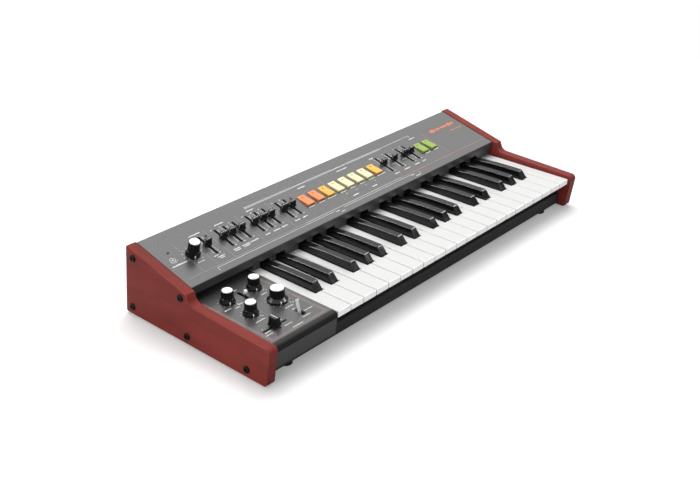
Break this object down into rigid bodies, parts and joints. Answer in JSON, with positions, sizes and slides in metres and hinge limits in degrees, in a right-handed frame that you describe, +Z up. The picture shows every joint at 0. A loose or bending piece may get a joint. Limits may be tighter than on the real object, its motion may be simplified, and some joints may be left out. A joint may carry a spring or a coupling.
{
  "type": "keyboard synthesizer",
  "caption": "Desktop keyboard synthesizer with full-size keys, a sloping panel of sliders, coloured tabs and a knob, a lower left performance panel and red end cheeks.",
  "frame": {"origin": "centre of the footprint on the surface the instrument stands on", "axes": "+X towards the high keys, +Y towards the rear, +Z up; the player sits on the -Y side"},
  "size_m": [0.6548, 0.2565, 0.1042],
  "materials": {
    "cheek_red": "close-grained wood, stained red under a satin lacquer; the material is a guess",
    "panel_grey": "fine-textured mid-grey enamel on folded steel",
    "pan_grey": "matt dark grey enamel on folded steel",
    "frame_dark": "matt near-black",
    "board_green": "solder-masked board",
    "screw_black": "black oxide",
    "foot_rubber": "matt",
    "key_white": "moulded, semi-gloss ivory white",
    "key_black": "moulded, gloss black",
    "control_black": "satin black",
    "tab_colours": "moulded satin; orange, orange, yellow, four cream and yellow from left to right",
    "tab_green": "moulded satin light green",
    "lever_white": "moulded white tip on a metal stem",
    "lever_metal": "plated"
  },
  "bodies": {
    "chassis": {"left_cheek": "cheek_red", "right_cheek": "cheek_red", "top_panel": "panel_grey", "left_panel": "panel_grey", "base_pan": "pan_grey", "keybed_frame": "frame_dark", "key_contact_board": "board_green", "control_boards": "board_green", "main_board": "board_green", "cheek_screws": "screw_black", "rubber_feet": "foot_rubber"},
    "key_c3": {"key_c3": "key_white"},
    "key_cs3": {"key_cs3": "key_black"},
    "key_d3": {"key_d3": "key_white"},
    "key_ds3": {"key_ds3": "key_black"},
    "key_e3": {"key_e3": "key_white"},
    "key_f3": {"key_f3": "key_white"},
    "key_fs3": {"key_fs3": "key_black"},
    "key_g3": {"key_g3": "key_white"},
    "key_gs3": {"key_gs3": "key_black"},
    "key_a3": {"key_a3": "key_white"},
    "key_as3": {"key_as3": "key_black"},
    "key_b3": {"key_b3": "key_white"},
    "key_c4": {"key_c4": "key_white"},
    "key_cs4": {"key_cs4": "key_black"},
    "key_d4": {"key_d4": "key_white"},
    "key_ds4": {"key_ds4": "key_black"},
    "key_e4": {"key_e4": "key_white"},
    "key_f4": {"key_f4": "key_white"},
    "key_fs4": {"key_fs4": "key_black"},
    "key_g4": {"key_g4": "key_white"},
    "key_gs4": {"key_gs4": "key_black"},
    "key_a4": {"key_a4": "key_white"},
    "key_as4": {"key_as4": "key_black"},
    "key_b4": {"key_b4": "key_white"},
    "key_c5": {"key_c5": "key_white"},
    "key_cs5": {"key_cs5": "key_black"},
    "key_d5": {"key_d5": "key_white"},
    "key_ds5": {"key_ds5": "key_black"},
    "key_e5": {"key_e5": "key_white"},
    "key_f5": {"key_f5": "key_white"},
    "key_fs5": {"key_fs5": "key_black"},
    "key_g5": {"key_g5": "key_white"},
    "key_gs5": {"key_gs5": "key_black"},
    "key_a5": {"key_a5": "key_white"},
    "key_as5": {"key_as5": "key_black"},
    "key_b5": {"key_b5": "key_white"},
    "key_c6": {"key_c6": "key_white"},
    "volume_knob": {"volume_knob": "control_black"},
    "left_knob_a": {"left_knob_a": "control_black"},
    "left_knob_b": {"left_knob_b": "control_black"},
    "left_knob_c": {"left_knob_c": "control_black"},
    "left_knob_large": {"left_knob_large": "control_black"},
    "left_slider_caps": {"left_slider_caps": "control_black"},
    "right_slider_caps": {"right_slider_caps": "control_black"},
    "centre_tabs": {"centre_tabs": "tab_colours"},
    "right_tabs": {"right_tabs": "tab_green"},
    "bender_cap": {"bender_cap": "control_black"},
    "mini_lever": {"mini_lever": "lever_white"},
    "bat_lever": {"bat_lever": "lever_metal"}
  },
  "joints": [
    {"name": "volume_turn", "type": "hinge", "parent": "chassis", "child": "volume_knob", "pos_m": [-0.2675, 0.06193, 0.08338], "axis": [0, -0.2552, 0.9669], "range_deg": [-300, 0]},
    {"name": "left_knob_a_turn", "type": "hinge", "parent": "chassis", "child": "left_knob_a", "pos_m": [-0.28, -0.0123, 0.0505], "axis": [0, 0, 1], "range_deg": [-300, 0]},
    {"name": "left_knob_b_turn", "type": "hinge", "parent": "chassis", "child": "left_knob_b", "pos_m": [-0.2359, -0.0116, 0.0505], "axis": [0, 0, 1], "range_deg": [-300, 0]},
    {"name": "left_knob_c_turn", "type": "hinge", "parent": "chassis", "child": "left_knob_c", "pos_m": [-0.28, -0.0522, 0.0505], "axis": [0, 0, 1], "range_deg": [-300, 0]},
    {"name": "left_knob_large_turn", "type": "hinge", "parent": "chassis", "child": "left_knob_large", "pos_m": [-0.2376, -0.0534, 0.0505], "axis": [0, 0, 1], "range_deg": [-300, 0]},
    {"name": "left_sliders_slide", "type": "slide", "parent": "chassis", "child": "left_slider_caps", "axis": [0, 0.9669, 0.2552], "range_m": [-0.0155, 0.0145]},
    {"name": "right_sliders_slide", "type": "slide", "parent": "chassis", "child": "right_slider_caps", "axis": [0, 0.9669, 0.2552], "range_m": [-0.0155, 0.0145]},
    {"name": "centre_tabs_press", "type": "hinge", "parent": "chassis", "child": "centre_tabs", "pos_m": [0.0068, 0.08051, 0.08393], "axis": [1, 0, 0], "range_deg": [0, 3.2], "stiffness_Nm_per_rad": 0.3, "springref_deg": -8.59},
    {"name": "right_tabs_press", "type": "hinge", "parent": "chassis", "child": "right_tabs", "pos_m": [0.1983, 0.08051, 0.08393], "axis": [1, 0, 0], "range_deg": [0, 3.2], "stiffness_Nm_per_rad": 0.3, "springref_deg": -8.59},
    {"name": "bender_slide", "type": "slide", "parent": "chassis", "child": "bender_cap", "axis": [1, 0, 0], "range_m": [-0.015, 0.015], "stiffness_N_per_m": 60},
    {"name": "mini_lever_tilt", "type": "hinge", "parent": "chassis", "child": "mini_lever", "pos_m": [-0.2572, -0.0145, 0.0435], "axis": [1, 0, 0], "range_deg": [-39, 0]},
    {"name": "bat_lever_tilt", "type": "hinge", "parent": "chassis", "child": "bat_lever", "pos_m": [-0.2386, -0.0925, 0.0435], "axis": [1, 0, 0], "range_deg": [0, 28]},
    {"name": "key_c3_press", "type": "hinge", "parent": "chassis", "child": "key_c3", "pos_m": [-0.20028, 0.088, 0.038], "axis": [1, 0, 0], "range_deg": [0, 2.7], "stiffness_Nm_per_rad": 0.6, "springref_deg": -6.88},
    {"name": "key_cs3_press", "type": "hinge", "parent": "chassis", "child": "key_cs3", "pos_m": [-0.18612, 0.088, 0.038], "axis": [1, 0, 0], "range_deg": [0, 2.7], "stiffness_Nm_per_rad": 0.6, "springref_deg": -6.88},
    {"name": "key_d3_press", "type": "hinge", "parent": "chassis", "child": "key_d3", "pos_m": [-0.17195, 0.088, 0.038], "axis": [1, 0, 0], "range_deg": [0, 2.7], "stiffness_Nm_per_rad": 0.6, "springref_deg": -6.88},
    {"name": "key_ds3_press", "type": "hinge", "parent": "chassis", "child": "key_ds3", "pos_m": [-0.15778, 0.088, 0.038], "axis": [1, 0, 0], "range_deg": [0, 2.7], "stiffness_Nm_per_rad": 0.6, "springref_deg": -6.88},
    {"name": "key_e3_press", "type": "hinge", "parent": "chassis", "child": "key_e3", "pos_m": [-0.14362, 0.088, 0.038], "axis": [1, 0, 0], "range_deg": [0, 2.7], "stiffness_Nm_per_rad": 0.6, "springref_deg": -6.88},
    {"name": "key_f3_press", "type": "hinge", "parent": "chassis", "child": "key_f3", "pos_m": [-0.13039, 0.088, 0.038], "axis": [1, 0, 0], "range_deg": [0, 2.7], "stiffness_Nm_per_rad": 0.6, "springref_deg": -6.88},
    {"name": "key_fs3_press", "type": "hinge", "parent": "chassis", "child": "key_fs3", "pos_m": [-0.11682, 0.088, 0.038], "axis": [1, 0, 0], "range_deg": [0, 2.7], "stiffness_Nm_per_rad": 0.6, "springref_deg": -6.88},
    {"name": "key_g3_press", "type": "hinge", "parent": "chassis", "child": "key_g3", "pos_m": [-0.10326, 0.088, 0.038], "axis": [1, 0, 0], "range_deg": [0, 2.7], "stiffness_Nm_per_rad": 0.6, "springref_deg": -6.88},
    {"name": "key_gs3_press", "type": "hinge", "parent": "chassis", "child": "key_gs3", "pos_m": [-0.0897, 0.088, 0.038], "axis": [1, 0, 0], "range_deg": [0, 2.7], "stiffness_Nm_per_rad": 0.6, "springref_deg": -6.88},
    {"name": "key_a3_press", "type": "hinge", "parent": "chassis", "child": "key_a3", "pos_m": [-0.07614, 0.088, 0.038], "axis": [1, 0, 0], "range_deg": [0, 2.7], "stiffness_Nm_per_rad": 0.6, "springref_deg": -6.88},
    {"name": "key_as3_press", "type": "hinge", "parent": "chassis", "child": "key_as3", "pos_m": [-0.06258, 0.088, 0.038], "axis": [1, 0, 0], "range_deg": [0, 2.7], "stiffness_Nm_per_rad": 0.6, "springref_deg": -6.88},
    {"name": "key_b3_press", "type": "hinge", "parent": "chassis", "child": "key_b3", "pos_m": [-0.04901, 0.088, 0.038], "axis": [1, 0, 0], "range_deg": [0, 2.7], "stiffness_Nm_per_rad": 0.6, "springref_deg": -6.88},
    {"name": "key_c4_press", "type": "hinge", "parent": "chassis", "child": "key_c4", "pos_m": [-0.03578, 0.088, 0.038], "axis": [1, 0, 0], "range_deg": [0, 2.7], "stiffness_Nm_per_rad": 0.6, "springref_deg": -6.88},
    {"name": "key_cs4_press", "type": "hinge", "parent": "chassis", "child": "key_cs4", "pos_m": [-0.02162, 0.088, 0.038], "axis": [1, 0, 0], "range_deg": [0, 2.7], "stiffness_Nm_per_rad": 0.6, "springref_deg": -6.88},
    {"name": "key_d4_press", "type": "hinge", "parent": "chassis", "child": "key_d4", "pos_m": [-0.00745, 0.088, 0.038], "axis": [1, 0, 0], "range_deg": [0, 2.7], "stiffness_Nm_per_rad": 0.6, "springref_deg": -6.88},
    {"name": "key_ds4_press", "type": "hinge", "parent": "chassis", "child": "key_ds4", "pos_m": [0.00672, 0.088, 0.038], "axis": [1, 0, 0], "range_deg": [0, 2.7], "stiffness_Nm_per_rad": 0.6, "springref_deg": -6.88},
    {"name": "key_e4_press", "type": "hinge", "parent": "chassis", "child": "key_e4", "pos_m": [0.02088, 0.088, 0.038], "axis": [1, 0, 0], "range_deg": [0, 2.7], "stiffness_Nm_per_rad": 0.6, "springref_deg": -6.88},
    {"name": "key_f4_press", "type": "hinge", "parent": "chassis", "child": "key_f4", "pos_m": [0.03411, 0.088, 0.038], "axis": [1, 0, 0], "range_deg": [0, 2.7], "stiffness_Nm_per_rad": 0.6, "springref_deg": -6.88},
    {"name": "key_fs4_press", "type": "hinge", "parent": "chassis", "child": "key_fs4", "pos_m": [0.04768, 0.088, 0.038], "axis": [1, 0, 0], "range_deg": [0, 2.7], "stiffness_Nm_per_rad": 0.6, "springref_deg": -6.88},
    {"name": "key_g4_press", "type": "hinge", "parent": "chassis", "child": "key_g4", "pos_m": [0.06124, 0.088, 0.038], "axis": [1, 0, 0], "range_deg": [0, 2.7], "stiffness_Nm_per_rad": 0.6, "springref_deg": -6.88},
    {"name": "key_gs4_press", "type": "hinge", "parent": "chassis", "child": "key_gs4", "pos_m": [0.0748, 0.088, 0.038], "axis": [1, 0, 0], "range_deg": [0, 2.7], "stiffness_Nm_per_rad": 0.6, "springref_deg": -6.88},
    {"name": "key_a4_press", "type": "hinge", "parent": "chassis", "child": "key_a4", "pos_m": [0.08836, 0.088, 0.038], "axis": [1, 0, 0], "range_deg": [0, 2.7], "stiffness_Nm_per_rad": 0.6, "springref_deg": -6.88},
    {"name": "key_as4_press", "type": "hinge", "parent": "chassis", "child": "key_as4", "pos_m": [0.10193, 0.088, 0.038], "axis": [1, 0, 0], "range_deg": [0, 2.7], "stiffness_Nm_per_rad": 0.6, "springref_deg": -6.88},
    {"name": "key_b4_press", "type": "hinge", "parent": "chassis", "child": "key_b4", "pos_m": [0.11549, 0.088, 0.038], "axis": [1, 0, 0], "range_deg": [0, 2.7], "stiffness_Nm_per_rad": 0.6, "springref_deg": -6.88},
    {"name": "key_c5_press", "type": "hinge", "parent": "chassis", "child": "key_c5", "pos_m": [0.12872, 0.088, 0.038], "axis": [1, 0, 0], "range_deg": [0, 2.7], "stiffness_Nm_per_rad": 0.6, "springref_deg": -6.88},
    {"name": "key_cs5_press", "type": "hinge", "parent": "chassis", "child": "key_cs5", "pos_m": [0.14288, 0.088, 0.038], "axis": [1, 0, 0], "range_deg": [0, 2.7], "stiffness_Nm_per_rad": 0.6, "springref_deg": -6.88},
    {"name": "key_d5_press", "type": "hinge", "parent": "chassis", "child": "key_d5", "pos_m": [0.15705, 0.088, 0.038], "axis": [1, 0, 0], "range_deg": [0, 2.7], "stiffness_Nm_per_rad": 0.6, "springref_deg": -6.88},
    {"name": "key_ds5_press", "type": "hinge", "parent": "chassis", "child": "key_ds5", "pos_m": [0.17122, 0.088, 0.038], "axis": [1, 0, 0], "range_deg": [0, 2.7], "stiffness_Nm_per_rad": 0.6, "springref_deg": -6.88},
    {"name": "key_e5_press", "type": "hinge", "parent": "chassis", "child": "key_e5", "pos_m": [0.18538, 0.088, 0.038], "axis": [1, 0, 0], "range_deg": [0, 2.7], "stiffness_Nm_per_rad": 0.6, "springref_deg": -6.88},
    {"name": "key_f5_press", "type": "hinge", "parent": "chassis", "child": "key_f5", "pos_m": [0.19861, 0.088, 0.038], "axis": [1, 0, 0], "range_deg": [0, 2.7], "stiffness_Nm_per_rad": 0.6, "springref_deg": -6.88},
    {"name": "key_fs5_press", "type": "hinge", "parent": "chassis", "child": "key_fs5", "pos_m": [0.21218, 0.088, 0.038], "axis": [1, 0, 0], "range_deg": [0, 2.7], "stiffness_Nm_per_rad": 0.6, "springref_deg": -6.88},
    {"name": "key_g5_press", "type": "hinge", "parent": "chassis", "child": "key_g5", "pos_m": [0.22574, 0.088, 0.038], "axis": [1, 0, 0], "range_deg": [0, 2.7], "stiffness_Nm_per_rad": 0.6, "springref_deg": -6.88},
    {"name": "key_gs5_press", "type": "hinge", "parent": "chassis", "child": "key_gs5", "pos_m": [0.2393, 0.088, 0.038], "axis": [1, 0, 0], "range_deg": [0, 2.7], "stiffness_Nm_per_rad": 0.6, "springref_deg": -6.88},
    {"name": "key_a5_press", "type": "hinge", "parent": "chassis", "child": "key_a5", "pos_m": [0.25286, 0.088, 0.038], "axis": [1, 0, 0], "range_deg": [0, 2.7], "stiffness_Nm_per_rad": 0.6, "springref_deg": -6.88},
    {"name": "key_as5_press", "type": "hinge", "parent": "chassis", "child": "key_as5", "pos_m": [0.26643, 0.088, 0.038], "axis": [1, 0, 0], "range_deg": [0, 2.7], "stiffness_Nm_per_rad": 0.6, "springref_deg": -6.88},
    {"name": "key_b5_press", "type": "hinge", "parent": "chassis", "child": "key_b5", "pos_m": [0.27999, 0.088, 0.038], "axis": [1, 0, 0], "range_deg": [0, 2.7], "stiffness_Nm_per_rad": 0.6, "springref_deg": -6.88},
    {"name": "key_c6_press", "type": "hinge", "parent": "chassis", "child": "key_c6", "pos_m": [0.29805, 0.088, 0.038], "axis": [1, 0, 0], "range_deg": [0, 2.7], "stiffness_Nm_per_rad": 0.6, "springref_deg": -6.88}
  ]
}
